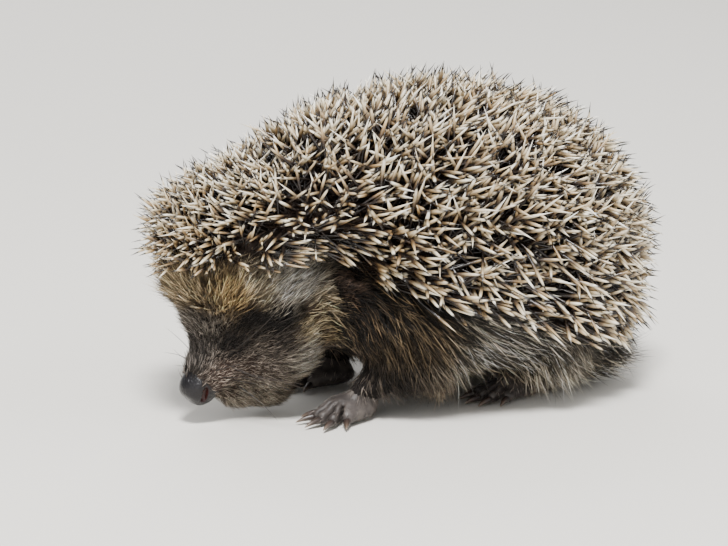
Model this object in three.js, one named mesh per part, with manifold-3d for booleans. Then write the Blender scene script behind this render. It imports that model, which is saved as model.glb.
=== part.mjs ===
// A young European hedgehog on the move, back arched and nose held just above the ground.
// Millimetres, +Z up, head towards -X, the animal's left side towards -Y, soles on Z = 0.
// Every form reaches to the tips of its spines or fur. Flesh forms are soft blends of balls and
// limbs, wrapped by a sphere mesh, then parted from their neighbours by a thin gap.

import * as THREE from "three";
import { mergeVertices } from "three/addons/utils/BufferGeometryUtils.js";
import Module from "manifold-3d";

const wasm = await Module();
wasm.setup();

// Driving dimensions
const LENGTH = 135; // brow spines to rump spines
const WIDTH = 91; // across the spines of the back
const HEIGHT = 79; // soles to the highest spines
const GAP = 0.3; // clear space between neighbouring pieces
const BIG = 200; // longer than the animal, for cutting blocks
const FUR_CLEAR = 1; // lowest fur tips above the floor

const COLOURS = {
  spines: 0x9a8468,
  fur: 0x5f5040,
  face: 0x6e5c48,
  muzzle: 0x5a4c42,
  nose: 0x2c2a2e,
  ear: 0x3d2f28,
  eye: 0x0c0a09,
  feet: 0x4a4140,
  claws: 0x8a7766,
};
const ROUGHNESS = { nose: 0.35, eye: 0.08, claws: 0.4 };

const V = (x, y, z) => new THREE.Vector3(x, y, z);
const mirrored = ([x, y, z]) => [x, -y, z];

// ---- Soft forms: functions that give the distance to a surface, negative inside ----

// An ellipsoid, as centre and half sizes.
function ball(at, size) {
  const [x, y, z] = at;
  const [a, b, c] = size;
  return (p) => {
    const u = V((p.x - x) / a, (p.y - y) / b, (p.z - z) / c);
    const slope = V(u.x / a, u.y / b, u.z / c).length();
    return slope ? (u.length() * (u.length() - 1)) / slope : -Math.min(a, b, c);
  };
}

// A straight limb with round ends, as two ends and their radii.
function limb(from, to, [r1, r2]) {
  const start = V(...from);
  const along = V(...to).sub(start);
  return (p) => {
    const q = p.clone().sub(start);
    const t = THREE.MathUtils.clamp(q.dot(along) / along.lengthSq(), 0, 1);
    return q.addScaledVector(along, -t).length() - THREE.MathUtils.lerp(r1, r2, t);
  };
}

function softly(softness, a, b) {
  const h = Math.max(softness - Math.abs(a - b), 0);
  return Math.min(a, b) - (h * h) / (4 * softness);
}

// Fields joined with a fillet about as wide as softness.
function blend(softness, ...fields) {
  return (p) => fields.map((field) => field(p)).reduce((a, b) => softly(softness, a, b));
}

// A field with the others scooped out of it.
function scooped(softness, field, ...scoops) {
  return (p) => scoops.reduce((d, scoop) => -softly(softness, -d, scoop(p)), field(p));
}

// ---- Solids ----

function solidOf(geometry) {
  const bare = geometry.clone().deleteAttribute("normal").deleteAttribute("uv");
  const merged = mergeVertices(bare, 1e-4);
  return new wasm.Manifold(
    new wasm.Mesh({
      numProp: 3,
      vertProperties: merged.attributes.position.array,
      triVerts: new Uint32Array(merged.index.array),
    }),
  );
}

// The surface of a field, seen from a core inside it: a sphere whose points are pushed out
// until the field reaches the level grow.
function wrap(field, core, detail, grow = 0) {
  const step = 0.5;
  const sphere = new THREE.IcosahedronGeometry(1, detail);
  const geometry = mergeVertices(sphere.deleteAttribute("normal").deleteAttribute("uv"), 1e-4);
  const place = geometry.attributes.position;
  const centre = V(...core);
  const ray = V(0, 0, 0);
  for (let i = 0; i < place.count; i++) {
    ray.fromBufferAttribute(place, i).normalize();
    const at = (t) => centre.clone().addScaledVector(ray, t);
    let inside = 0;
    while (field(at(inside + step)) < grow) inside += step;
    let outside = inside + step;
    for (let n = 0; n < 12; n++) {
      const middle = (inside + outside) / 2;
      if (field(at(middle)) < grow) inside = middle;
      else outside = middle;
    }
    place.setXYZ(i, ...at(inside));
  }
  return solidOf(geometry);
}

// A form and its slightly larger copy, with which its neighbours are cut.
function form(field, core, detail) {
  return { body: wrap(field, core, detail), clear: wrap(field, core, detail, 1.5 * GAP) };
}

function block(low, high) {
  const size = V(...high).sub(V(...low));
  const middle = V(...low).addScaledVector(size, 0.5);
  const box = new THREE.BoxGeometry(...size);
  return solidOf(box.translate(...middle));
}

const joined = (solids) => solids.reduce((a, b) => a.add(b));
const without = (solid, ...others) => others.reduce((a, b) => a.subtract(b), solid);
const floor = block([-BIG, -BIG, -BIG], [BIG, BIG, 0]);
const underside = block([-BIG, -BIG, -BIG], [BIG, BIG, FUR_CLEAR]);

// A curved tapering rod along local +X, drooping by the given amount, such as a toe or a claw.
function rod(length, [r1, r2], droop, sides, rings) {
  const sphere = new THREE.SphereGeometry(1, sides, rings).rotateZ(-Math.PI / 2);
  const place = sphere.attributes.position;
  for (let i = 0; i < place.count; i++) {
    const t = (place.getX(i) + 1) / 2;
    const round = Math.hypot(place.getY(i), place.getZ(i));
    const full = round ? Math.pow(round, 0.45) / round : 0;
    const r = THREE.MathUtils.lerp(r1, r2, t) * full;
    place.setXYZ(i, length * t, place.getY(i) * r, place.getZ(i) * r - droop * t * t);
  }
  return sphere;
}

// ---- The model ----

const hedgehog = new THREE.Group();

function material(kind) {
  return new THREE.MeshStandardMaterial({
    color: COLOURS[kind],
    roughness: ROUGHNESS[kind] ?? 0.85,
    metalness: 0,
  });
}

// Adds a named mesh whose shape is given in the frame of its group.
function place(name, kind, geometry, group = hedgehog) {
  const mesh = new THREE.Mesh(geometry, material(kind));
  mesh.name = name;
  group.add(mesh);
  return mesh;
}

// Adds a solid that was cut in the animal's frame to a group, in that group's frame.
function put(name, kind, solid, group = hedgehog) {
  const { vertProperties, triVerts } = solid.simplify(0.4 * GAP).getMesh();
  const geometry = new THREE.BufferGeometry();
  geometry.setAttribute("position", new THREE.BufferAttribute(new Float32Array(vertProperties), 3));
  geometry.setIndex(new THREE.BufferAttribute(new Uint32Array(triVerts), 1));
  geometry.applyMatrix4(group.matrixWorld.clone().invert());
  return place(name, kind, geometry, group);
}

// A group standing at a point, turned about Z and then tipped about its own Y, in degrees.
function groupAt(at, turn, tip = 0) {
  const group = new THREE.Group();
  group.position.set(...at);
  group.rotation.set(0, THREE.MathUtils.degToRad(tip), THREE.MathUtils.degToRad(turn), "ZYX");
  hedgehog.add(group);
  group.updateMatrixWorld(true);
  return group;
}

const inFrame = (group, solid) => solid.transform(group.matrixWorld.elements);
const intoFrame = (group, solid) => solid.transform(group.matrixWorld.clone().invert().elements);

// ---- Spiny mantle: a dome over the back, and a hood over the forehead ----

const BACK = { at: [12, 0, 35], size: [LENGTH / 2 - 10.5, WIDTH / 2, HEIGHT - 35] };
const SHOULDER_HUMP = { at: [-16, 0, 40], size: [35, 38, 29.5] };
const HOOD = { at: [-44, -1, 41.5], size: [LENGTH / 2 - 45, 29, 20.2] };
const NECK_X = -29; // where the hood parts from the back

// The lower edge of the spines in side view, from the forehead over the ear to the rump.
const FRINGE = [
  [-LENGTH, 37],
  [-62, 37],
  [-50, 39],
  [-38, 43.5],
  [-27, 44.5],
  [-20, 37],
  [-8, 29],
  [10, 21],
  [28, 14],
  [44, 8.5],
  [58, 6],
  [LENGTH, 6],
].map(([x, z]) => new THREE.Vector2(x, z));

// Everything below the fringe, as a block that reaches from side to side.
function underFringe(raise) {
  const edge = new THREE.SplineCurve(FRINGE).getPoints(16);
  const outline = edge.map((p) => new THREE.Vector2(p.x, p.y + raise));
  outline.push(new THREE.Vector2(LENGTH, -BIG), new THREE.Vector2(-LENGTH, -BIG));
  const across = new THREE.ExtrudeGeometry(new THREE.Shape(outline), {
    depth: BIG,
    bevelEnabled: false,
  });
  return solidOf(across.rotateX(Math.PI / 2).translate(0, BIG / 2, 0));
}

const MANTLE = blend(
  10,
  ball(BACK.at, BACK.size),
  ball(SHOULDER_HUMP.at, SHOULDER_HUMP.size),
  ball(HOOD.at, HOOD.size),
);
const MANTLE_CORE = [-4, 0, 46];
const MANTLE_DETAIL = 6;
const spiny = without(wrap(MANTLE, MANTLE_CORE, MANTLE_DETAIL), underFringe(0));
const spinyClear = without(wrap(MANTLE, MANTLE_CORE, MANTLE_DETAIL, GAP), underFringe(-GAP));
const half = GAP / 2;
put("mantle_back", "spines", without(spiny, block([-BIG, -BIG, -BIG], [NECK_X + half, BIG, BIG])));
put("mantle_hood", "spines", without(spiny, block([NECK_X - half, -BIG, -BIG], [BIG, BIG, BIG])));

// ---- Feet: a pad and five toes, each with its claw, in a frame whose +X is forward ----

const SIDES = 6; // round a toe or a claw
const RINGS = 3; // along it
const CLAW_SINK = 1.6; // how deep a claw sits in its toe
const fan = (angles, lengths) => angles.map((angle, i) => ({ angle, length: lengths[i] }));

const FORE = {
  pad: blend(3, ball([-3, 0, 3.4], [7.5, 5.6, 4.2]), ball([2, 0, 2.6], [4.5, 5.8, 3])),
  core: [-1, 0, 3],
  root: 0.5,
  toes: fan([-52, -24, 0, 24, 50], [7, 8.6, 9, 8.6, 6.6]),
  toe: { radii: [2.4, 1.9], droop: 0.9 },
  claw: { length: 5, radii: [0.95, 0.3], droop: 1.1 },
};
const HIND = {
  pad: blend(4, ball([-7, 0, 4], [8, 5, 4.6]), ball([2, 0, 3.2], [6, 5.6, 3.8])),
  core: [-3, 0, 3],
  root: 2,
  toes: fan([-40, -18, 0, 17, 38], [6.6, 8.6, 9.2, 8.8, 6.4]),
  toe: { radii: [2.3, 1.8], droop: 0.9 },
  claw: { length: 5.4, radii: [0.9, 0.28], droop: 1.1 },
};

// A toe or a claw of the given measures, grown all round.
function digit({ length, radii, droop }, grow = 0) {
  const thick = radii.map((r) => r + grow);
  return rod(length + 2 * grow, thick, droop, SIDES, RINGS).translate(-grow, 0, 0);
}

// Builds one foot at a place and heading, and returns the space that legs and trunk keep clear of.
function addFoot(name, foot, at, heading) {
  const group = groupAt(at, heading);
  const toes = [];
  const sockets = [];
  const space = [];
  foot.toes.forEach(({ angle, length }, i) => {
    const toe = { ...foot.toe, length };
    const root = new THREE.Matrix4()
      .makeRotationZ(THREE.MathUtils.degToRad(angle))
      .multiply(new THREE.Matrix4().makeTranslation(foot.root, 0, toe.radii[0]));
    const tip = new THREE.Matrix4().makeTranslation(length - CLAW_SINK, 0, 0.3 - toe.droop);
    const clawFrame = root.clone().multiply(tip);
    toes.push(solidOf(digit(toe).applyMatrix4(root)));
    space.push(solidOf(digit(toe, 2 * GAP).applyMatrix4(root)));
    sockets.push(solidOf(digit(foot.claw, GAP).applyMatrix4(clawFrame)));
    place(`${name}_claw_${i + 1}`, "claws", digit(foot.claw), group).applyMatrix4(clawFrame);
  });
  const pad = form(foot.pad, foot.core, 2);
  const body = without(joined([pad.body, ...toes]), floor, ...sockets);
  put(name, "feet", inFrame(group, body), group);
  return inFrame(group, joined([pad.clear, ...space, ...sockets]).hull());
}

const FOOTFALL = {
  fore_foot_left: { foot: FORE, at: [-23.5, -19, 0], heading: 194 },
  fore_foot_right: { foot: FORE, at: [-13, 15, 0], heading: 170 },
  hind_foot_left: { foot: HIND, at: [24, -18.5, 0], heading: 185 },
  hind_foot_right: { foot: HIND, at: [29, 16, 0], heading: 172 },
};
const feet = Object.fromEntries(
  Object.entries(FOOTFALL).map(([name, { foot, at, heading }]) => [name, addFoot(name, foot, at, heading)]),
);

// ---- Legs: from the shoulder or hip to the ankle ----

function leg(points, radii) {
  const parts = points.slice(1).map((to, i) => limb(points[i], to, [radii[i], radii[i + 1]]));
  return blend(3, ...parts);
}

const LEGS = {
  fore_leg_left: {
    field: leg([[-12, -22, 24], [-6.5, -23, 15], [-19, -19.5, 8]], [10, 9.5, 5]),
    core: [-9, -22.5, 16],
    detail: 2,
  },
  fore_leg_right: {
    field: leg([[-7, 20, 24], [-1, 20, 15], [-10, 15.5, 8]], [10, 9, 4.8]),
    core: [-4, 18.5, 15.5],
    detail: 2,
  },
  hind_leg_left: {
    field: leg([[28, -26, 16], [32, -19.5, 8]], [11.5, 5]),
    core: [30, -22.5, 12],
    detail: 1,
  },
  hind_leg_right: {
    field: leg([[32, 26, 15], [37, 16, 8]], [12, 5]),
    core: [34, 21, 11.5],
    detail: 1,
  },
};
const legs = Object.fromEntries(
  Object.entries(LEGS).map(([name, { field, core, detail }]) => [name, form(field, core, detail)]),
);

// ---- Tail: a short bare stub under the rump ----

const tail = form(limb([44, 0, 10], [58, 1, 3.2], [3, 1.2]), [48, 0.3, 8], 2);

// ---- Head: +X of its frame runs from the braincase to the nose, +Z is the forehead's side ----

const HEAD_AT = [-37, -2, 33.2];
const head = groupAt(HEAD_AT, 187, 54);
const EYE_R = 2.3;
const EYE = [7.2, 14.6, 0.6];
const SNOUT = { from: 14, lean: 20 }; // where the muzzle parts from the face, and its slant in degrees

const faceField = scooped(
  3,
  blend(
    5,
    ball([0, 0, 1], [18, 19, 15]), // braincase
    ball([6, 0, 13], [14, 17, 13.5]), // brow
    ball([9, -8.5, -8], [14, 9.5, 11.5]), // right cheek
    ball([9, 8.5, -8], [14, 9.5, 11.5]), // left cheek
    limb([14, 0, -1], [27.5, 0, -0.2], [12.8, 6]), // muzzle
  ),
  ball([9, -20.7, 1.5], [6, 4.6, 3.6]), // hollows round the eyes
  ball([9, 20.7, 1.5], [6, 4.6, 3.6]),
);
const jawField = blend(
  3,
  limb([11, 0, -13.5], [19.4, 0, -14.4], [8.5, 7.6]), // throat
  limb([19.4, 0, -14.4], [28, 0, -7.6], [7.6, 4.4]), // chin
);
const noseField = blend(
  1.2,
  ball([31, 0, 0.8], [4, 4.3, 4.8]),
  ball([30.2, 2.6, -0.4], [2.6, 2.2, 2.8]),
  ball([30.2, -2.6, -0.4], [2.6, 2.2, 2.8]),
);
const nostril = (side) => wrap(ball([32.6, side * 3.5, -0.6], [1.5, 0.75, 1.2]), [32.6, side * 3.5, -0.6], 1);

const face = form(faceField, [3, 0, -1], 4);
const jaw = form(jawField, [18, 0, -13], 2);
const nose = form(noseField, [30.8, 0, 0.4], 2);
const snoutSide = block([SNOUT.from - half, -BIG, -BIG], [BIG, BIG, BIG]).rotate([0, SNOUT.lean, 0]);
const skullSide = block([-BIG, -BIG, -BIG], [SNOUT.from + half, BIG, BIG]).rotate([0, SNOUT.lean, 0]);
const hoodOverHead = intoFrame(head, spinyClear);
const eyeballs = [1, -1].map((side) => {
  const at = [EYE[0], side * EYE[1], EYE[2]];
  const socket = wrap(ball(at, [EYE_R + 2 * GAP, EYE_R + 2 * GAP, EYE_R + 2 * GAP]), at, 1);
  return { side, at, socket };
});
const sockets = eyeballs.map((eye) => eye.socket);
const bareFace = without(face.body, hoodOverHead, ...sockets);
put("head", "face", inFrame(head, without(bareFace, snoutSide, jaw.clear)), head);
put("muzzle", "muzzle", inFrame(head, without(bareFace, skullSide, jaw.clear, nose.clear)), head);
put("lower_jaw", "muzzle", without(inFrame(head, without(jaw.body, nose.clear)), underside), head);
put("nose", "nose", inFrame(head, without(nose.body, nostril(1), nostril(-1))), head);
eyeballs.forEach(({ side, at }) => {
  const eye = place(side > 0 ? "eye_left" : "eye_right", "eye", new THREE.IcosahedronGeometry(EYE_R, 1), head);
  eye.position.set(...at);
});

// An ear is a small cup that opens along +X of its own frame and stands up along +Z.
const EAR = { at: [-26, -19.5, 34.2], points: [0.15, -0.8, 0.5], opens: [-0.85, -0.45, 0.1], width: 4.6, height: 5.8 };

function addEar(name, turnOver) {
  const up = V(...turnOver(EAR.points)).normalize();
  const across = V(...turnOver(EAR.opens)).cross(up).negate().normalize();
  const ear = groupAt(turnOver(EAR.at), 0);
  ear.setRotationFromMatrix(new THREE.Matrix4().makeBasis(across.clone().cross(up), across, up));
  ear.updateMatrixWorld(true);
  const shape = ball([0, 0, 4.5], [2.6, EAR.width, EAR.height]);
  const shell = wrap(shape, [0, 0, 4.5], 2);
  const hollow = wrap(ball([2.7, 0, 5.4], [3.2, EAR.width - 1, EAR.height - 1]), [2.7, 0, 5.4], 1);
  const cup = without(inFrame(ear, without(shell, hollow)), inFrame(head, face.clear), spinyClear);
  put(name, "ear", cup, ear);
  return inFrame(ear, wrap(shape, [0, 0, 4.5], 1, 2 * GAP));
}
const earsClear = [addEar("ear_left", (v) => v), addEar("ear_right", mirrored)];

// ---- Furred trunk below the fringe, its neck parted from it between the shoulders ----

const TRUNK = blend(
  9,
  ball([12, 0, 25], [42, 39.5, 21]), // belly
  ball([38, 0, 20], [24, 34, 18.5]), // rump
  ball([42, -12, 11], [14, 17, 11.5]), // long fur behind the hind feet
  ball([42, 12, 11], [14, 17, 11.5]),
  ball([-8, 0, 32], [22, 36, 19]), // chest and shoulders
  ball([-24, 0, 32], [13, 27, 16]), // neck
);
const TORSO_X = -24; // where the neck ends
const headClear = inFrame(head, joined([face.clear, jaw.clear]));
const torso = wrap(TRUNK, [10, 0, 22], 4);
const legsClear = Object.values(legs).map((part) => part.clear);
const feetClear = Object.values(feet);
const flesh = without(torso, spinyClear, headClear, underside, ...earsClear, ...legsClear, ...feetClear);
put("neck", "fur", without(flesh, block([TORSO_X - half, -BIG, -BIG], [BIG, BIG, BIG])));
put("trunk", "fur", without(flesh, block([-BIG, -BIG, -BIG], [TORSO_X + half, BIG, BIG]), tail.clear));
put("tail", "feet", without(tail.body, spinyClear));

// Each leg stands in a hollow of the trunk and stops at its foot.
for (const [name, part] of Object.entries(legs)) {
  put(name, "fur", without(part.body, spinyClear, headClear, underside, feet[name.replace("leg", "foot")]));
}

// ---- The origin is the middle of the model's footprint, on the floor ----

hedgehog.updateMatrixWorld(true);
const bounds = new THREE.Box3().setFromObject(hedgehog, true);
const middle = bounds.getCenter(V(0, 0, 0));
hedgehog.position.set(-middle.x, -middle.y, -bounds.min.z);

export default hedgehog;
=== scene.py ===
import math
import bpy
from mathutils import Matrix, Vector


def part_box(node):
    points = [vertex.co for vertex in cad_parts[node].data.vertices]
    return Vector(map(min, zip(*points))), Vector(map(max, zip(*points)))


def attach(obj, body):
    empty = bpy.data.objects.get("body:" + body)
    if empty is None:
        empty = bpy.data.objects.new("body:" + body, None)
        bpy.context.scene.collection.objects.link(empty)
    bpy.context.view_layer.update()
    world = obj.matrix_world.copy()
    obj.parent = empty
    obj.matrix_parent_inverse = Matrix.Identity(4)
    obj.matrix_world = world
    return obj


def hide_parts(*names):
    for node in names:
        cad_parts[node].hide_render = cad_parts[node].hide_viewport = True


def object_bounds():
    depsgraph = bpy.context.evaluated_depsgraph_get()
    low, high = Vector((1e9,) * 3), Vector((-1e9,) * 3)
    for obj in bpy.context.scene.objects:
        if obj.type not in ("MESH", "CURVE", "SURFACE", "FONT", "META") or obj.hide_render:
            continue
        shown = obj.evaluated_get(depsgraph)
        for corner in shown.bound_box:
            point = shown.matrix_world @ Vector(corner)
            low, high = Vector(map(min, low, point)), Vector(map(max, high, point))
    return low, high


bl_info = {
    "name": "Young Hedgehog",
    "version": (1, 0, 0),
    "blender": (4, 5, 0),
    "location": "3D View > Sidebar > Hedgehog",
    "description": "Skin, spines, fur, eyes, claws and whiskers of a young hedgehog, with its stage",
    "category": "Object",
}

from collections import namedtuple

import bpy
import numpy as np
import openvdb
from mathutils import Matrix, Vector

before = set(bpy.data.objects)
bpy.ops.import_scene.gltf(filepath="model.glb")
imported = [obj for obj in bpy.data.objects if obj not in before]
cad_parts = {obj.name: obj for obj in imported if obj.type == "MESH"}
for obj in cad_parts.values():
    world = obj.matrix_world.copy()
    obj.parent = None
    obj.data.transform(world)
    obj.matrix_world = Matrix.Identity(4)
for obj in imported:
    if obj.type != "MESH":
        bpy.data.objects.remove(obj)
CAD_BOX = [[float(v) for v in corner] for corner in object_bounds()]

MM = 0.001
VOXEL = 0.5 * MM  # cell of the grid on which the skin is worked out
MARGIN = 2.5 * MM  # how far the grid reaches past the animal
CLOSING = 0.75 * MM  # half the widest gap between two solids that the skin bridges
HOLLOW = 7.0 * MM  # radius to which the skin fills the hollow under the edge of the mantle
ROOT_DEPTH = 0.6 * MM  # how far hairs and spines are set into the skin
PATCH = 0.003  # side of one tuft's patch on the unwrap, whose own side is one
MOST_FACES = 190000  # triangles in one mesh of the coat
FEET = ("fore_foot_left", "fore_foot_right", "hind_foot_left", "hind_foot_right")
LEGS = tuple(foot.replace("foot", "leg") for foot in FEET)
TOES = range(1, 6)

# Nodes of flesh by kind, with the depth of the coat over the skin in millimetres. That of the
# mantle is at its lower edge, and spine_cover adds to it.
FLESH = {
    "mantle": (("mantle_back", "mantle_hood"), 3.6),
    "body": (("neck", "trunk"), 5.0),
    "head": (("head",), 2.2),
    "muzzle": (("muzzle", "lower_jaw"), 1.2),
    "nose": (("nose",), 0.0),
    "ears": (("ear_left", "ear_right"), -0.15),
    "legs": (LEGS, 2.0),
    "feet": (FEET, 0.3),
    "tail": (("tail",), 0.3),
}
KINDS = tuple(FLESH)
FURRED = KINDS[1:]  # all but the mantle
MORE_COVER = 6.0  # what the spines add to the coat's depth away from the mantle's edge, in mm
EYES = ("eye_left", "eye_right")
NODES_OF_FLESH = tuple(name for names, _ in FLESH.values() for name in names)

BUILT = {}  # the skin, which one operator works out and later ones grow the coat on


# ---------------------------------------------------------------- numbers


def smooth(value, low, high):
    """None at low and one at high, with an even start and end."""
    t = np.clip((value - low) / (high - low), 0, 1)
    return t * t * (3 - 2 * t)


def unit(vectors):
    """Vectors with a length of one."""
    return vectors / np.maximum(np.linalg.norm(vectors, axis=-1, keepdims=True), 1e-12)


def mirrored(points):
    """Points of both sides brought over to where Y is positive."""
    return points * (1, 0, 1) + np.abs(points) * (0, 1, 0)


def along_skin(ways, normals):
    """Directions laid flat on the skin."""
    return unit(ways - normals * (ways * normals).sum(1, keepdims=True))


def swung(lie, across, angle):
    """Directions turned on the skin by an angle."""
    return lie * np.cos(angle)[:, None] + across * np.sin(angle)[:, None]


def linear(hexcode):
    """An sRGB hex value as linear red, green, blue and alpha."""
    parts = [int(hexcode[i : i + 2], 16) / 255 for i in (1, 3, 5)]
    return tuple(c / 12.92 if c <= 0.04045 else ((c + 0.055) / 1.055) ** 2.4 for c in parts) + (1.0,)


def soft_union(a, b, width):
    """Fields a and b together, with the corner between them filled by width."""
    h = np.maximum(width - np.abs(a - b), 0)
    return np.minimum(a, b) - h * h / (4 * width)


def soft_cut(a, b, width):
    """Field a with field b taken away, with an edge rounded by width."""
    return -soft_union(-a, b, width)


def ball(p, at, size):
    """Distance to an ellipsoid, negative inside."""
    u = (p - np.asarray(at)) / np.asarray(size)
    r = np.linalg.norm(u, axis=-1)
    slope = np.linalg.norm(u / np.asarray(size), axis=-1)
    return np.where(slope > 1e-9, r * (r - 1) / np.maximum(slope, 1e-9), -min(size))


def groove(p, start, end, radius):
    """Distance to a straight rod with round ends."""
    a, b = np.asarray(start, float), np.asarray(end, float)
    t = np.clip(((p - a) @ (b - a)) / ((b - a) @ (b - a)), 0, 1)
    return np.linalg.norm(p - a - t[..., None] * (b - a), axis=-1) - radius


# ---------------------------------------------------------------- the head's own frame


class HeadFrame:
    """Origin midway between the eyes, X towards the nose, Y to the animal's left, Z to the forehead."""

    def __init__(self):
        middle = {}
        for name in EYES + ("nose",):
            low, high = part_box(name)
            middle[name] = (np.array(low) + np.array(high)) / 2
        self.origin = (middle["eye_left"] + middle["eye_right"]) / 2
        across = unit(middle["eye_left"] - middle["eye_right"])
        ahead = middle["nose"] - self.origin
        ahead = unit(ahead - across * (ahead @ across))
        self.axes = np.array([ahead, across, np.cross(ahead, across)])
        self.nose = self.local(middle["nose"])
        self.eye = self.local(middle["eye_left"])
        low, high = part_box("eye_left")
        self.eye_radius = (high[2] - low[2]) / 2

    def local(self, points):
        return (np.asarray(points) - self.origin) @ self.axes.T

    def world(self, points):
        return np.asarray(points) @ self.axes + self.origin

    def turned(self, vectors):
        return np.asarray(vectors) @ self.axes

    def from_eye(self, local):
        """Distance to the middle of the nearer eye, from places in the head's frame."""
        return np.linalg.norm(mirrored(local) - self.eye, axis=-1)


HEAD = HeadFrame()


# ---------------------------------------------------------------- fields on a grid


class Grid:
    """A box of cells round the whole animal, on which distances are kept."""

    def __init__(self):
        low, high = np.array(CAD_BOX[0]), np.array(CAD_BOX[1])
        self.first = np.floor((low - MARGIN) / VOXEL).astype(int)
        self.corner = tuple(int(i) for i in self.first)
        last = np.ceil((high + MARGIN) / VOXEL).astype(int)
        self.shape = tuple(int(n) for n in last - self.first + 1)
        self.axes = [(np.arange(n) + first) * VOXEL for n, first in zip(self.shape, self.first)]
        self.transform = openvdb.createLinearTransform(voxelSize=VOXEL)

    def distance(self, points, faces, outside, inside):
        """Signed distance to closed faces, kept as far as outside and inside."""
        kind = {"triangles": faces} if faces.shape[1] == 3 else {"quads": faces}
        grid = openvdb.FloatGrid.createLevelSetFromPolygons(
            points.astype(np.float32),
            transform=self.transform,
            exBandWidth=outside / VOXEL,
            inBandWidth=inside / VOXEL,
            **{k: v.astype(np.uint32) for k, v in kind.items()},
        )
        cells = np.empty(self.shape, np.float32)
        grid.copyToArray(cells, ijk=self.corner)
        return cells

    def surface(self, cells, level=0.0):
        """Points and quads of the surface where a field has one level."""
        grid = openvdb.FloatGrid(10 * MM)
        grid.transform = self.transform
        grid.copyFromArray(cells, ijk=self.corner, tolerance=0.0)
        return grid.convertToQuads(isovalue=level)

    def centres(self, low, high):
        """Slices and cell centres of the part of the grid between two corners."""
        start = np.maximum(np.floor(np.asarray(low) / VOXEL).astype(int) - self.first, 0)
        stop = np.minimum(np.ceil(np.asarray(high) / VOXEL).astype(int) - self.first + 1, self.shape)
        part = tuple(slice(int(a), int(b)) for a, b in zip(start, stop))
        axes = [axis[cells] for axis, cells in zip(self.axes, part)]
        return part, np.stack(np.meshgrid(*axes, indexing="ij"), -1)

    def at(self, cells, points):
        """Values of a field between the cells."""
        where = points / VOXEL - self.first
        base = np.clip(np.floor(where).astype(int), 0, np.array(self.shape) - 2)
        part = np.clip(where - base, 0, 1)
        found = np.zeros(len(points))
        for corner in np.ndindex(2, 2, 2):
            weight = np.prod(np.where(corner, part, 1 - part), axis=1)
            found += weight * cells[tuple((base + corner).T)]
        return found


def solid_faces(names):
    """Points and triangles of some of the frame's nodes, together."""
    points, faces, count = [], [], 0
    for name in names:
        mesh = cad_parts[name].data
        mesh.calc_loop_triangles()
        co = np.empty(len(mesh.vertices) * 3, np.float32)
        mesh.vertices.foreach_get("co", co)
        tri = np.empty(len(mesh.loop_triangles) * 3, np.int32)
        mesh.loop_triangles.foreach_get("vertices", tri)
        points.append(co.reshape(-1, 3))
        faces.append(tri.reshape(-1, 3) + count)
        count += len(mesh.vertices)
    return np.concatenate(points), np.concatenate(faces)


def outer_shell(points, faces):
    """The faces of the largest connected part of a mesh."""
    label = np.arange(len(points))
    a, b = faces[:, [0, 1, 2]].ravel(), faces[:, [1, 2, 3]].ravel()
    while True:
        low = np.minimum(label[a], label[b])
        new = label.copy()
        np.minimum.at(new, a, low)
        np.minimum.at(new, b, low)
        new = new[new]
        new = new[new]
        if (new == label).all():
            break
        label = new
    kept = faces[label[faces[:, 0]] == np.bincount(label).argmax()]
    used, renumbered = np.unique(kept, return_inverse=True)
    return points[used], renumbered.reshape(kept.shape)


def blurred(cells, rounds, stride=1):
    """Cells evened out with their neighbours, a stride apart."""
    for _ in range(rounds):
        for axis in range(3):
            ahead, behind = np.roll(cells, -stride, axis), np.roll(cells, stride, axis)
            cells = 0.5 * cells + 0.25 * (ahead + behind)
    return cells


# ---------------------------------------------------------------- markings and lie of the coat

# Lowest roots of the spines from forehead to rump, as shares of the animal's length from its
# middle and of its height
FRINGE = (
    (-0.5, 0.50),
    (-0.44, 0.50),
    (-0.36, 0.51),
    (-0.28, 0.535),
    (-0.21, 0.54),
    (-0.15, 0.44),
    (-0.07, 0.39),
    (0.06, 0.34),
    (0.2, 0.28),
    (0.32, 0.23),
    (0.42, 0.2),
    (0.5, 0.19),
)


def above_fringe(x, z):
    """Height over the lower edge of the spines, in side view."""
    length, height = CAD_BOX[1][0] - CAD_BOX[0][0], CAD_BOX[1][2]
    along, up = zip(*FRINGE)
    return z - height * np.interp(x / length, along, up)


def brow_front(x):
    """One over the front of the forehead, none further back."""
    return 1 - smooth(x, -58 * MM, -46 * MM)


def spine_cover(x, above):
    """Depth of the spiny coat, thinner towards its lower edge at the sides."""
    least = FLESH["mantle"][1]
    return (least + MORE_COVER * np.maximum(smooth(above, -2 * MM, 15 * MM), brow_front(x))) * MM


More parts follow.
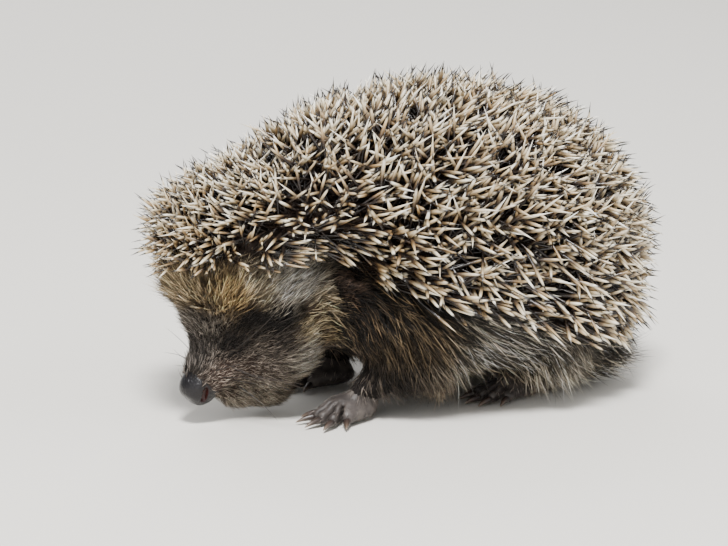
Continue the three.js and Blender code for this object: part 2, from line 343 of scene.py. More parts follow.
# Places on the head, in its frame in millimetres, mirrored left and right: where, how far it
# reaches, colour at the root, colour at the tip, hair length in mm, lift off the skin in degrees
FACE = {
    "nose bridge": ((17, 0, 6.5), 4.5, "#2a2622", "#67605a", 3.0, 26),
    "snout top": ((10.5, 3, 9.5), 4.5, "#241f1b", "#968c80", 4.0, 30),
    "snout side": ((18, 7, -1), 4, "#3f322c", "#a09284", 1.7, 18),
    "snout shadow": ((13, 8.5, 4), 3.8, "#0f0c0b", "#2c2621", 2.4, 18),
    "upper lip": ((14.5, 10.5, -7), 4.5, "#332923", "#9a8d80", 1.9, 16),
    "forehead": ((4.5, 3, 17), 6.5, "#382d21", "#b29b77", 8.2, 32),
    "forehead side": ((2.9, 10, 11.5), 4.5, "#33271b", "#bf9f6e", 6.4, 26),
    "crown": ((-2, 6, 25), 8, "#382b1f", "#83715a", 8.8, 42),
    "temple": ((-1.5, 13.5, 10), 4.5, "#3d3226", "#cdbb9c", 6.0, 28),
    "eye patch front": ((5.8, 13, 5.5), 4.4, "#0c0908", "#15110e", 3.0, 14),
    "eye patch": ((1.8, 15, -1.0), 4.0, "#060504", "#0f0c0a", 2.2, 14),
    "eye corner": ((-2.4, 16.8, -4.4), 2.4, "#080605", "#211a14", 2.6, 12),
    "under the eye": ((6.5, 15.5, -3.5), 4.4, "#1a1512", "#5c534a", 2.6, 14),
    "brow": ((-6.5, 17.5, 3), 6.0, "#6c6357", "#e9e0cf", 5.4, 22),
    "brow edge": ((-4.2, 16.2, 1.2), 1.7, "#6c6153", "#efe4ce", 3.6, 14),
    "brow edge in front": ((0.4, 14, 5.8), 1.6, "#6a5a45", "#f2dfb8", 3.4, 16),
    "brow rear": ((-12, 20.5, -1.5), 3.6, "#2f2820", "#c0b095", 4.4, 16),
    "behind the eye": ((-5.5, 20, -8), 4.4, "#43362a", "#ecd4a6", 4.2, 14),
    "cheek": ((0, 18.5, -9.5), 4.2, "#463828", "#e8d0a3", 4.2, 14),
    "cheek low": ((-4, 19, -15.5), 5.0, "#3d3021", "#dfc391", 4.6, 14),
    # painted shadow: near-black hair stands in for the shade that fills the ear's hollow
    "painted shadow in the ear hollow": ((-15.7, 22, -7), 5.5, "#070504", "#18120e", 2.2, 10),
    "jowl": ((6, 15, -12), 4.6, "#322b25", "#bfb4a2", 3.2, 16),
    "chin": ((15, 3, -11), 6, "#3d342d", "#b0a391", 2.6, 20),
    "throat": ((4, 6, -20), 8, "#241d18", "#8d7f6c", 3.6, 22),
}

# The same on the rest of the body, in the animal's frame, with z from the floor
BODY = {
    # painted shadow: the neck side behind the cheek is near black to stand in for the shade there
    "painted shadow on the neck side": ((-26, 26, 30), 8, "#090706", "#392c1e", 7.0, 16),
    "behind the ear": ((-20, 28, 38), 6, "#1c150f", "#a88d66", 11.0, 20),
    "shoulder": ((-14, 31, 26), 10, "#0b0807", "#6b5a43", 10.0, 18),
    # Makes the hedgehog and its stage.
    "flank": ((6, 34, 24), 13, "#100c0a", "#dccfba", 13.0, 20),
    "rear flank": ((30, 34, 14), 14, "#100d0a", "#c6b9a4", 12.0, 22),
    "rump": ((52, 16, 12), 14, "#100d0a", "#c0b39e", 12.0, 28),
    "belly": ((15, 12, 5), 16, "#2a221b", "#8d7e68", 8.0, 24),
    "chest": ((-20, 8, 12), 12, "#1a1512", "#6a5d4e", 4.5, 20),
    "foreleg": ((-12, 24, 14), 7, "#0b0908", "#352e28", 5.0, 18),
    "elbow": ((-1, 27, 12), 6, "#15100d", "#94816a", 9.0, 28),
    "wrist": ((-20, 20, 7), 5, "#1a1614", "#6d635a", 3.0, 16),
    "thigh": ((30, 28, 12), 8, "#130f0c", "#8a795f", 6.5, 16),
}
# The same where one kind of flesh has one kind of hair: root, tip, length, lift
PLAIN_HAIR = {
    "feet": ("#1d1817", "#8a8079", 2.1, 10),
    "ears": ("#120d0b", "#57463a", 1.6, 24),
    "tail": ("#2a211c", "#7b6a5a", 2.5, 20),
}


def of_kind(share, *kinds):
    """How much of each point belongs to some kinds of flesh together."""
    return sum(share[:, KINDS.index(kind)] for kind in kinds)


def hair_look(root, tip, length, lift):
    """Root colour, tip colour, length in metres and lift in radians, as eight numbers."""
    return np.array(linear(root)[:3] + linear(tip)[:3] + (length * MM, math.radians(lift)))


def table_of(places, points):
    """The look of the hair at points in millimetres, mixed from the places of a table."""
    total = np.full((len(points), 1), 1e-9)
    mixed = np.zeros((len(points), 8))
    one_side = mirrored(points)
    for at, reach, *look in places.values():
        gap = np.linalg.norm(one_side - np.array(at), axis=1) / reach
        weight = (1 / (0.04 + gap**5))[:, None]
        mixed += weight * hair_look(*look)
        total += weight
    return mixed / total


def coat_at(points, share):
    """The look of the fur at points of the skin, with painted shade darkening it just below the spines."""
    on_head = of_kind(share, "head", "muzzle", "nose")[:, None]
    on_body = of_kind(share, "body", "legs", "mantle")[:, None]
    found = on_head * table_of(FACE, HEAD.local(points) / MM) + on_body * table_of(BODY, points / MM)
    for kind, look in PLAIN_HAIR.items():
        found += of_kind(share, kind)[:, None] * hair_look(*look)
    # painted shade: colours just below the spines are darkened to stand in for the shade the spines cast
    # there
    painted_spine_shade = smooth(above_fringe(points[:, 0], points[:, 2]), -7 * MM, 0)
    found[:, :6] *= 1 - 0.55 * painted_spine_shade[:, None]
    return found


def lie_at(points, normals, share):
    """The way the fur lies, along the skin."""
    kinds = (("head", "muzzle", "nose"), ("body",), ("legs",), ("feet",), ("ears",))
    head, body, legs, feet, ears = (of_kind(share, *names)[:, None] for names in kinds)
    from_nose = HEAD.turned(unit(HEAD.local(points) - HEAD.nose))
    to_side = np.sign(points[:, 1:2])
    back = np.array((1.0, 0.0, 0.0))
    down = np.array((0.0, 0.0, -1.0))
    flank = body * smooth(normals[:, 2:3], -0.9, -0.2)
    lie = back + 0.75 * flank * down + 0.1 * to_side * (0, 1, 0)
    lie = lie * (1 - head) + head * (from_nose + 0.15 * down)
    lie += legs * (1.2 * down - 0.4 * back)
    lie += feet * (-1.6 * back + 0.4 * down)
    lie = lie * (1 - ears) + ears * (to_side * (0, 1, 0) + (-0.2, 0, 0.6))
    return along_skin(lie, normals)


# ---------------------------------------------------------------- meshes


def mesh_from(name, points, faces, uv=None, **fields):
    """A mesh object from arrays of faces; each field is a number or a colour for every point."""
    mesh = bpy.data.meshes.new(name)
    sizes = np.concatenate([np.full(len(f), f.shape[1]) for f in faces])
    corners = np.concatenate([f.ravel() for f in faces])
    mesh.vertices.add(len(points))
    mesh.vertices.foreach_set("co", np.asarray(points, np.float32).ravel())
    mesh.loops.add(len(corners))
    mesh.loops.foreach_set("vertex_index", corners.astype(np.int32))
    mesh.polygons.add(len(sizes))
    mesh.polygons.foreach_set("loop_start", (np.cumsum(sizes) - sizes).astype(np.int32))
    mesh.polygons.foreach_set("use_smooth", np.ones(len(sizes), bool))
    for key, values in fields.items():
        values = np.asarray(values, np.float32)
        kind = "FLOAT" if values.ndim == 1 else "FLOAT_COLOR"
        if values.ndim == 2 and values.shape[1] == 3:
            values = np.hstack([values, np.ones((len(values), 1), np.float32)])
        place = "value" if kind == "FLOAT" else "color"
        mesh.attributes.new(key, kind, "POINT").data.foreach_set(place, values.ravel())
    if uv is not None:
        mesh.uv_layers.new(name="OFBake").data.foreach_set("uv", uv[corners].astype(np.float32).ravel())
    mesh.update()
    mesh.validate()
    piece = bpy.data.objects.new(name, mesh)
    bpy.context.scene.collection.objects.link(piece)
    return piece


def finished(piece, materials, slot, *replaced):
    """Gives a piece its materials and ties it to the frame."""
    for made in materials:
        piece.data.materials.append(made)
    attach(piece, "root")
    if replaced:
        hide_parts(*replaced)


def above_floor(roots, heading, bend, length):
    """Lengths cut back so that no tip goes through the floor."""
    fall = np.maximum(-(heading + bend)[:, 2], 1e-3)
    return np.minimum(length, np.maximum(roots[:, 2] - 0.4 * MM, 0.3 * MM) / fall)


def strands(roots, heading, bend, length, width, stations, girth, sides):
    """Many tapering rods that start at roots. Gives their points and faces, and for the points of
    one rod the share along it and round it.

    bend is how far the tip is carried off the straight line, as a share of the length; girth is
    the thickness at each station but the last, which is the tip."""
    count, stops = len(roots), np.asarray(stations, float)
    t = stops[None, :, None]
    reach = length[:, None, None]
    line = roots[:, None] + reach * (heading[:, None] * t + bend[:, None] * t**2)
    along = unit(heading[:, None] + 2 * bend[:, None] * t)
    odd = np.where(np.abs(heading[:, 2:3]) > 0.9, (1.0, 0, 0), (0, 0, 1.0))
    u = unit(np.cross(along, odd[:, None]))
    v = np.cross(along, u)
    turn = np.arange(sides) * 2 * math.pi / sides
    around = u[:, :, None] * np.cos(turn)[:, None] + v[:, :, None] * np.sin(turn)[:, None]
    radius = 0.5 * width[:, None] * np.asarray(girth)[None, :]
    rings = line[:, :-1, None] + around[:, :-1] * radius[:, :, None, None]
    each = sides * (len(stops) - 1) + 1
    points = np.concatenate([rings.reshape(count, -1, 3), line[:, -1:]], 1)
    first = (np.arange(count) * each)[:, None, None]
    ring, side = np.meshgrid(np.arange(len(stops) - 2), np.arange(sides), indexing="ij")
    a = (ring * sides + side).ravel()
    b = (ring * sides + (side + 1) % sides).ravel()
    walls = (first + np.stack([a, b, b + sides, a + sides], 1)[None]).reshape(-1, 4)
    last = sides * (len(stops) - 2) + np.arange(sides)
    after = sides * (len(stops) - 2) + (np.arange(sides) + 1) % sides
    tips = (first + np.stack([last, after, np.full(sides, each - 1)], 1)[None]).reshape(-1, 3)
    bases = (first + np.arange(sides)[::-1][None, None]).reshape(-1, sides)
    share = np.append(np.repeat(stops[:-1], sides), 1.0)
    across = np.append(np.tile(np.arange(sides) / sides, len(stops) - 1), 0.5)
    return points.reshape(-1, 3), [walls, tips, bases], share, across


def patches(uv, around, along):
    """Places on the unwrap for all points of strands, each in a small square round its root's."""
    square = np.stack(np.broadcast_arrays(around, along), -1) - 0.5
    return (uv[:, None] + PATCH * square).reshape(-1, 2)


# ---------------------------------------------------------------- materials


def add(tree, kind, settings=None, inputs=None, stops=()):
    """Adds a node; inputs maps a socket's name or number to a value or to another socket, and
    stops are the places and hex colours along a colour ramp."""
    made = tree.nodes.new(kind)
    for key, value in (settings or {}).items():
        setattr(made, key, value)
    for key, value in (inputs or {}).items():
        if isinstance(value, bpy.types.NodeSocket):
            tree.links.new(value, made.inputs[key])
        else:
            made.inputs[key].default_value = value
    for _ in stops[2:]:
        made.color_ramp.elements.new(0.5)
    for i, (place, hexcode) in enumerate(stops):
        made.color_ramp.elements[i].position = place
        made.color_ramp.elements[i].color = linear(hexcode)
    return made


def material(name, **surface):
    """A material and its nodes; plain values are set on the shader by the names of its sockets."""
    made = bpy.data.materials.new(name)
    made.use_nodes = True
    for key, value in surface.items():
        made.node_tree.nodes["Principled BSDF"].inputs[key.replace("_", " ")].default_value = value
    return made, made.node_tree


def lead(tree, **outputs):
    """Leads outputs of nodes to the sockets of the shader."""
    for key, output in outputs.items():
        tree.links.new(output, tree.nodes["Principled BSDF"].inputs[key.replace("_", " ")])


def scale_of(size):
    """Scale of a pattern whose parts have a size in millimetres."""
    return 1 / (size * MM)


def spine_keratin(needle):
    """Keratin, grown in bands: dark shaft, tan then cream above it, and on many a dark needle tip.

    Grown keratin has a low sheen, so the pale bands stay matt while the dark shafts catch light."""
    made, tree = material("banded_keratin_grown", Roughness=0.27, IOR=1.56)
    along, chance, warmth, tipped = (
        add(tree, "ShaderNodeAttribute", {"attribute_name": name}).outputs["Fac"]
        for name in ("along", "chance", "warmth", "dark_tip")
    )
    # from spine to spine the bands sit up to a twentieth of the length higher or lower
    raised = add(tree, "ShaderNodeMath", {"operation": "MULTIPLY_ADD"}, {0: chance, 1: 0.1, 2: along})
    moved = add(tree, "ShaderNodeMath", {"operation": "SUBTRACT"}, {0: raised.outputs[0], 1: 0.05})
    grown = (0.0, 0.30, 0.56, 0.63, 0.70, 0.78, 0.88)
    pale = ("#3a2a1e", "#17110e", "#221913", "#66533b", "#bba985", "#efe6cf", "#fcf8ee")
    warm = ("#3a2a1e", "#17110e", "#1d1510", "#3f2f20", "#7b6242", "#b0956c", "#d8c8a6")
    bands = []
    for colours in (pale, warm):
        stops = list(zip(grown, colours))
        bands.append(add(tree, "ShaderNodeValToRGB", None, {"Fac": moved.outputs[0]}, stops).outputs["Color"])
    body = add(tree, "ShaderNodeMix", {"data_type": "RGBA"}, {0: warmth, 6: bands[0], 7: bands[1]})
    at_tip = add(
        tree,
        "ShaderNodeMapRange",
        {"interpolation_type": "SMOOTHSTEP"},
        {0: along, 1: 0.8, 2: 0.86, 3: 0.0, 4: 1.0},
    )
    dark = add(tree, "ShaderNodeMath", {"operation": "MULTIPLY"}, {0: at_tip.outputs[0], 1: tipped})
    whole = {0: dark.outputs[0], 6: body.outputs[2], 7: needle}
    lead(tree, Base_Color=add(tree, "ShaderNodeMix", {"data_type": "RGBA"}, whole).outputs[2])
    return made


def guard_hair():
    """Guard hair, grown: coarse straight hair, dark at the root and pale at the tip, with a soft gloss."""
    made, tree = material("guard_hair_grown", Roughness=0.42, IOR=1.55, Specular_IOR_Level=0.22)
    tint = add(tree, "ShaderNodeAttribute", {"attribute_name": "tint"})
    lead(tree, Base_Color=tint.outputs["Color"])
    return made


def whisker_hair():
    """Whiskers, grown: stiff single hairs, near black and slightly glossy."""
    made, tree = material("whisker_keratin_grown", Roughness=0.4, IOR=1.55)
    along = add(tree, "ShaderNodeAttribute", {"attribute_name": "along"}).outputs["Fac"]
    shades = [(0.0, "#0d0b0a"), (1.0, "#3a3029")]
    lead(tree, Base_Color=add(tree, "ShaderNodeValToRGB", None, {"Fac": along}, shades).outputs["Color"])
    return made


def downy_skin():
    """Skin under the coat, grown: thin, creased and tinted by the down on it, so quite matt.

    Its creases are finer than 0.2 mm and are drawn at about 0.56 mm, so that they show."""
    made, tree = material("downy_skin_grown", Roughness=0.85, IOR=1.4, Specular_IOR_Level=0.2)
    tint = add(tree, "ShaderNodeAttribute", {"attribute_name": "tint"}).outputs["Color"]
    place = add(tree, "ShaderNodeTexCoord").outputs["Object"]
    creases = {"Vector": place, "Scale": scale_of(0.556), "Detail": 4.0}
    fine = add(tree, "ShaderNodeTexNoise", None, creases).outputs[0]
    dim = add(tree, "ShaderNodeMapRange", None, {0: fine, 1: 0.3, 2: 0.7, 3: 0.6, 4: 1.3})
    shade = add(tree, "ShaderNodeVectorMath", {"operation": "SCALE"}, {0: tint, 3: dim.outputs[0]})
    relief = {"Strength": 0.5, "Distance": 0.2 * MM, "Height": fine}
    bump = add(tree, "ShaderNodeBump", None, relief)
    lead(tree, Base_Color=shade.outputs[0], Normal=bump.outputs[0])
    return made


def paw_skin():
    """Bare skin of the feet, grown: granular, folded across, dark grey-brown and faintly waxy.

    The folds are about 4.5 mm apart. The grains are drawn at 0.7 mm, coarser than real ones, so
    that they show."""
    made, tree = material("paw_skin_granular", Roughness=0.55, IOR=1.42)
    place = add(tree, "ShaderNodeTexCoord").outputs["Object"]
    broad = add(tree, "ShaderNodeTexNoise", None, {"Vector": place, "Scale": scale_of(4.55), "Detail": 4.0})
    grain = add(tree, "ShaderNodeTexVoronoi", None, {"Vector": place, "Scale": scale_of(0.714)})
    shades = [(0.3, "#292523"), (0.5, "#403a37"), (0.72, "#5e5751")]
    colour = add(tree, "ShaderNodeValToRGB", None, {"Fac": broad.outputs[0]}, shades)
    relief = {"Strength": 0.5, "Distance": 0.12 * MM, "Height": grain.outputs[0]}
    lumps = add(tree, "ShaderNodeBump", None, relief).outputs[0]
    relief = {"Strength": 0.6, "Distance": 0.4 * MM, "Height": broad.outputs[0], "Normal": lumps}
    folds = add(tree, "ShaderNodeBump", None, relief)
    lead(tree, Base_Color=colour.outputs["Color"], Normal=folds.outputs[0])
    return made


def nose_leather(lining):
    """Rhinarium: bare wet skin in fine pebbles about 0.4 mm across, near black with a purple cast."""
    wet = {"Roughness": 0.34, "IOR": 1.35, "Coat_Weight": 0.15, "Coat_Roughness": 0.1}
    made, tree = material("rhinarium_wet_skin", **wet)
    place = add(tree, "ShaderNodeTexCoord").outputs["Object"]
    round_edged = {"feature": "SMOOTH_F1"}
    pebbles = add(tree, "ShaderNodeTexVoronoi", round_edged, {"Vector": place, "Scale": scale_of(0.385)})
    broad = add(tree, "ShaderNodeTexNoise", None, {"Vector": place, "Scale": scale_of(3.33), "Detail": 3.0})
    inner = add(tree, "ShaderNodeAttribute", {"attribute_name": "nostril"}).outputs["Fac"]
    shades = [(0.3, "#070607"), (0.7, "#131013")]
    outer = add(tree, "ShaderNodeValToRGB", None, {"Fac": broad.outputs[0]}, shades).outputs["Color"]
    mixed = add(tree, "ShaderNodeMix", {"data_type": "RGBA"}, {0: inner, 6: outer, 7: lining})
    relief = {"Strength": 1.0, "Distance": 0.16 * MM, "Height": pebbles.outputs[0]}
    bump = add(tree, "ShaderNodeBump", None, relief)
    lead(tree, Base_Color=mixed.outputs[2], Normal=bump.outputs[0])
    return made


def eye_cornea():
    """Cornea over a dark iris: wet and smooth, so it is a black mirror with small sharp lights in it."""
    made, tree = material("cornea_wet", Roughness=0.05, IOR=1.376, Specular_IOR_Level=0.25)
    rim = add(tree, "ShaderNodeLayerWeight", None, {"Blend": 0.3}).outputs["Facing"]
    shades = [(0.0, "#040303"), (1.0, "#0d0907")]
    lead(tree, Base_Color=add(tree, "ShaderNodeValToRGB", None, {"Fac": rim}, shades).outputs["Color"])
    return made


def claw_horn():
    """Claw horn, worn by digging: brown, paler to the point, and finely scratched.

    The scratches are drawn at about 0.67 mm, coarser than real ones, so that they show."""
    made, tree = material("claw_horn_worn", Roughness=0.38, IOR=1.54)
    along = add(tree, "ShaderNodeAttribute", {"attribute_name": "along"}).outputs["Fac"]
    shades = [(0.0, "#231c1a"), (0.5, "#392e28"), (0.85, "#5a4b3e"), (1.0, "#75644f")]
    colour = add(tree, "ShaderNodeValToRGB", None, {"Fac": along}, shades)
    place = add(tree, "ShaderNodeTexCoord").outputs["Object"]
    wear = add(tree, "ShaderNodeTexNoise", None, {"Vector": place, "Scale": scale_of(0.667)})
    relief = {"Strength": 0.3, "Distance": 0.05 * MM, "Height": wear.outputs[0]}
    bump = add(tree, "ShaderNodeBump", None, relief)
    lead(tree, Base_Color=colour.outputs["Color"], Normal=bump.outputs[0])
    return made


def studio_paper(colour):
    """Backdrop paper, rolled: pale and quite matt."""
    return material("backdrop_paper_rolled", Roughness=0.9, Base_Color=colour)[0]


# ---------------------------------------------------------------- settings


def size_setting(name, description, size):
    """A length that can be changed, from its default in millimetres."""
    return bpy.props.FloatProperty(name=name, description=description, default=size * MM, unit="LENGTH")


def colour_setting(name, description, hexcode):
    """A colour that can be changed, from its default as a hex value."""
    default = linear(hexcode)
    return bpy.props.FloatVectorProperty(
        name=name, description=description, default=default, size=4, subtype="COLOR"
    )


class HedgehogSizes(bpy.types.PropertyGroup):
    """Sizes that can be changed"""

    spine_length: size_setting("Spine length", "Length of a spine of the back", 17.2)
    spine_width: size_setting("Spine width", "Greatest thickness of a spine", 0.92)
    spine_count: bpy.props.IntProperty(
        name="Spines",
        description="Number of spines rooted in back and hood",
        default=6600,
        subtype="UNSIGNED",
    )
    hair_width: size_setting(
        "Hair width", "Thickness of a guard hair at its root, more than in life so that it shows", 0.27
    )
    claw_width: size_setting("Claw width", "Thickness of a claw where it leaves the toe", 1.7)
    camera_distance: size_setting("Camera distance", "Camera to the animal's middle", 700)


class HedgehogColours(bpy.types.PropertyGroup):
    """Colours that can be changed"""

    needle: colour_setting("Needle tip", "Colour of the dark point that many spines have", "#17100c")
    nostril: colour_setting("Nostril", "Colour of the lining of the nostrils", "#331613")
    paper: colour_setting("Backdrop paper", "Colour of the floor", "#d9d5cd")


# ---------------------------------------------------------------- operators


def by_nose(at, side=1):
    """A place in the head's frame, from one in millimetres from the middle of the nose."""
    x, y, z = at
    return HEAD.nose + np.array((x, side * y, z)) * MM


def cut_along(field, p, route, radius, edge):
    """A field with a groove along a route cut out of it."""
    for start, end in zip(route, route[1:]):
        field = soft_cut(field, groove(p, start, end, radius * MM), edge * MM)
    return field


class HEDGEHOG_OT_skin(bpy.types.Operator):
    """Makes one skin under the coat, from the solids of the flesh"""

    bl_idname = "hedgehog.skin"
    bl_label = "Skin"

    # Forms of the nose and mouth, left of the head's middle, in millimetres from the nose's
    COLLAR = ((-4.4, 0, 0.1), (5.0, 4.5, 4.6))  # skin behind the pad: middle and half sizes
    WING = ((-1.0, 2.5, 0.8), (2.4, 2.1, 2.4))  # swelling round a nostril
    FLAT = ((13.4, 0, 1.5), (10, 10, 10))  # ball that flattens the front of the pad
    CLEFT = ((4.6, 0, 1.2), (3.4, 0, -3.6), (-1, 0, -5))
    MOUTH = ((-2.5, 0.5, -5), (-7, 5, -8), (-14, 10, -13))
    NOSTRIL = ((-3.0, 3.3, 1.2), (-1.8, 3.9, 1.0), (-0.3, 4.0, 0.3), (1.5, 3.1, -1.0))
    NOSTRIL_RADII = (0.3, 0.45, 0.75)  # it widens like a comma towards its opening in front

    # The lids, in millimetres: their thickness, and the slit's middle and half sizes along, outward
    # and across
    LID = 0.6
    SLIT = ((0, 3.0, 0), (2.0, 2.2, 1.0))

    # The toes, in millimetres: for each knuckle its distance behind the claw, its rise over it and
    # its radius, and half sizes of the cleft between two toes
    KNUCKLES = ((1.2, 0.5, 1.45), (4.0, 1.3, 1.6))
    TOE_CLEFT = (4.2, 0.42, 4.5)

    def execute(self, context):
        grid = Grid()
        x, z = grid.axes[0][:, None, None], grid.axes[2]
        above = above_fringe(x, z).astype(np.float32)
        share = self.shares(grid, above)
        depth = self.depth_of_coat(grid, share, x, above)
        raw = (self.closed_flesh(grid, x, above) + depth).astype(np.float32)
        fine = share["feet"] + share["ears"] + share["nose"]
        cells = fine * blurred(raw, 1) + (1 - fine) * blurred(raw, 4)
        self.sculpt_head(grid, cells)
        for foot in FEET:
            self.sculpt_toes(grid, cells, foot)
        points, faces = outer_shell(*grid.surface(cells))
        kinds = np.stack([grid.at(share[kind], points) for kind in KINDS], 1)
        kinds = np.maximum(kinds, 0)
        kinds /= kinds.sum(1, keepdims=True)
        piece = mesh_from("skin", points, [faces], **self.fields(points, kinds))
        lining = context.scene.hedgehog_colours.nostril
        finished(piece, (downy_skin(), nose_leather(lining), paw_skin()), "body_fur", *NODES_OF_FLESH)
        middle = kinds[faces].mean(1)
        slot = np.zeros(len(faces), np.int32)
        slot[of_kind(middle, "nose") > 0.5] = 1
        slot[of_kind(middle, "feet", "tail") > 0.5] = 2
        piece.data.polygons.foreach_set("material_index", slot)
        BUILT["skin"] = {"piece": piece, "points": points, "faces": faces, "kinds": kinds}
        return {"FINISHED"}

    def shares(self, grid, above):
        """How much of each cell belongs to each kind of flesh."""
        share = {}
        for kind in FURRED:
            cells = grid.distance(*solid_faces(FLESH[kind][0]), 8 * MM, 8 * MM)
            share[kind] = 1 / (1 + np.exp(np.clip(cells / (1.1 * MM), -30, 30)))
        spiny = smooth(above, -1.5 * MM, 1.5 * MM)
        for kind in ("ears", "feet", "legs", "tail"):
            spiny = spiny * (1 - np.minimum(1.5 * share[kind], 1))
        total = sum(share.values()) + 1e-6
        share = {kind: cells / total * (1 - spiny) for kind, cells in share.items()}
        share["mantle"] = spiny
        return share

    def depth_of_coat(self, grid, share, x, above):
        """How far the skin lies inside the solids, eased from one kind of coat to the next."""
        depth = sum(share[kind] * FLESH[kind][1] * MM for kind in FURRED)
        depth += share["mantle"] * spine_cover(x, above)
        self.deepen_head(grid, depth, share["head"])
        eased = blurred(blurred(depth, 3, 4), 3, 2)
        under_spines = smooth(blurred(blurred(share["mantle"], 3, 4), 3, 2), 0.03, 0.3)
        return np.minimum(depth, eased) * (1 - under_spines) + eased * under_spines

    def deepen_head(self, grid, depth, head):
        """Longer hair over brow and crown keeps the skin further in, and round the eyes it is thin."""
        part, centres = grid.centres(*[HEAD.origin + s * 40 * MM for s in (-1, 1)])
        local = HEAD.local(centres)
        depth[part] += head[part] * 3.0 * MM * smooth(local[..., 2], 6 * MM, 18 * MM)
        depth[part] -= head[part] * 1.3 * MM * (1 - smooth(HEAD.from_eye(local), 3 * MM, 7 * MM))

    def closed_flesh(self, grid, x, above):
        """Distance to the flesh, with its thin cuts closed and the hollow under the mantle filled."""
        by_edge = smooth(above, -6 * MM, 0) * (1 - smooth(above, 12 * MM, 22 * MM))
        by_edge = by_edge * (1 - brow_front(x))
        ears = grid.distance(*solid_faces(FLESH["ears"][0]), 6 * MM, 3 * MM)
        by_edge = (by_edge * smooth(ears, 1 * MM, 5 * MM)).astype(np.float32)
        flesh = grid.distance(*solid_faces(NODES_OF_FLESH + EYES), HOLLOW + 1 * MM, 3 * MM)
        whole = 0
        for closing, weight in ((CLOSING, 1 - by_edge), (HOLLOW, by_edge)):
            shell, faces = outer_shell(*grid.surface(flesh, closing))
            closed = grid.distance(shell, faces, 3 * MM, 12 * MM + closing)
            whole = whole + weight * (closed + closing)
        return whole

    def nostril(self, p, side):
        """Distance to the hollow of one nostril."""
        route = [by_nose(at, side) for at in self.NOSTRIL]
        ends = zip(route, route[1:])
        return np.minimum.reduce([groove(p, *pair, r * MM) for pair, r in zip(ends, self.NOSTRIL_RADII)])

    def fields(self, points, kinds):
        """Colour of the skin under the hair, and where it lines a nostril."""
        # the skin's colour comes from coat_at, so it carries the same painted shade
        colours = coat_at(points, kinds)[:, :3] * 0.75
        local = HEAD.local(points)
        spiny = smooth(of_kind(kinds, "mantle"), 0.3, 0.9)
        lid = 1 - smooth(HEAD.from_eye(local), HEAD.eye_radius + 1 * MM, HEAD.eye_radius + 3 * MM)
        for share, hexcode in ((spiny[:, None], "#1c1511"), (lid[:, None], "#0b0908")):
            colours = colours * (1 - share) + share * np.array(linear(hexcode)[:3])
        inside = np.minimum(self.nostril(local, 1), self.nostril(local, -1))
        return {"tint": colours, "nostril": 1 - smooth(inside, -0.1 * MM, 0.25 * MM)}

    def sculpt_head(self, grid, cells):
        """Nose, nostrils, lids and the line of the mouth."""
        part, centres = grid.centres(*[HEAD.origin + s * 34 * MM for s in (-1, 1)])
        p = HEAD.local(centres)

        def form(at, size, side=1):
            """Distance to one of the rounded forms at the nose."""
            return ball(p, by_nose(at, side), np.array(size) * MM)

        field = soft_union(cells[part], form(*self.COLLAR), 2.5 * MM)
        field = cut_along(field, p, [by_nose(at) for at in self.CLEFT], 0.3, 0.6)
        for side in (1, -1):
            field = soft_union(field, form(*self.WING, side), 1.0 * MM)
        field = soft_cut(field, form(*self.FLAT), 1.2 * MM)
        for side in (1, -1):
            field = soft_cut(field, self.nostril(p, side), 0.5 * MM)
            field = cut_along(field, p, [by_nose(at, side) for at in self.MOUTH], 0.35, 0.7)
            eye = HEAD.eye * (1, side, 1)
            lids = ball(p, eye, np.full(3, HEAD.eye_radius + self.LID * MM))
            field = soft_union(field, lids, 2.4 * MM)
            # the slit between the lids faces out and forward, and rises to the front
            out = unit(np.array((0.45, side, 0.2)))
            along = np.array((0.8, 0, 0.6))
            along = unit(along - out * (along @ out))
            turned = (p - eye) @ np.array((along, out, np.cross(along, out))).T
            middle, size = (np.array(measures) * MM for measures in self.SLIT)
            field = soft_cut(field, ball(turned, middle, size), 0.3 * MM)
        cells[part] = field

    def sculpt_toes(self, grid, cells, foot):
        """Knuckles, and the clefts between the toes."""
        low, high = (np.array(corner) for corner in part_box(foot))
        part, p = grid.centres(low - 2 * MM, high + 2 * MM)
        field = cells[part]
        claws = [claw_line(foot, toe) for toe in TOES]
        for root, tip in claws:
            back = unit((root - tip) * (1, 1, 0))
            for reach, rise, radius in self.KNUCKLES:
                knuckle = root + back * reach * MM + np.array((0, 0, rise)) * MM
                field = soft_union(field, ball(p, knuckle, np.full(3, radius * MM)), 1.2 * MM)
        for (a, tip_a), (b, tip_b) in zip(claws, claws[1:]):
            middle = (a + b) / 2
            back = unit((a + b - tip_a - tip_b) * (1, 1, 0))
            across = np.cross(back, (0, 0, 1))
            turned = (p - middle - back * 1.6 * MM) @ np.array((back, across, (0, 0, 1))).T
            between = ball(turned, np.zeros(3), np.array(self.TOE_CLEFT) * MM)
            field = soft_cut(field, between, 0.9 * MM)
        cells[part] = field


def claw_line(foot, toe):
    """Root and tip of a claw."""
    low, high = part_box(foot)
    heel = (np.array(low) + np.array(high)) / 2
    points, _ = solid_faces((f"{foot}_claw_{toe}",))
    far = np.linalg.norm((points - heel)[:, :2], axis=1)
    return points[far < far.min() + 0.25 * np.ptp(far)].mean(0), points[far.argmax()]


class HEDGEHOG_OT_eyes(bpy.types.Operator):
    """Makes the eyeballs"""

    bl_idname = "hedgehog.eyes"
    bl_label = "Eyes"

    def execute(self, context):
        made = eye_cornea()
        for name in EYES:
            low, high = (np.array(c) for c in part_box(name))
            bpy.ops.mesh.primitive_uv_sphere_add(segments=32, ring_count=20, radius=(high - low)[2] / 2)
            piece = context.object
            piece.name = name.replace("eye", "eyeball")
            piece.data.transform(Matrix.Translation((low + high) / 2))
            piece.data.polygons.foreach_set("use_smooth", np.ones(len(piece.data.polygons), bool))
            finished(piece, (made,), "eye", name)
        return {"FINISHED"}


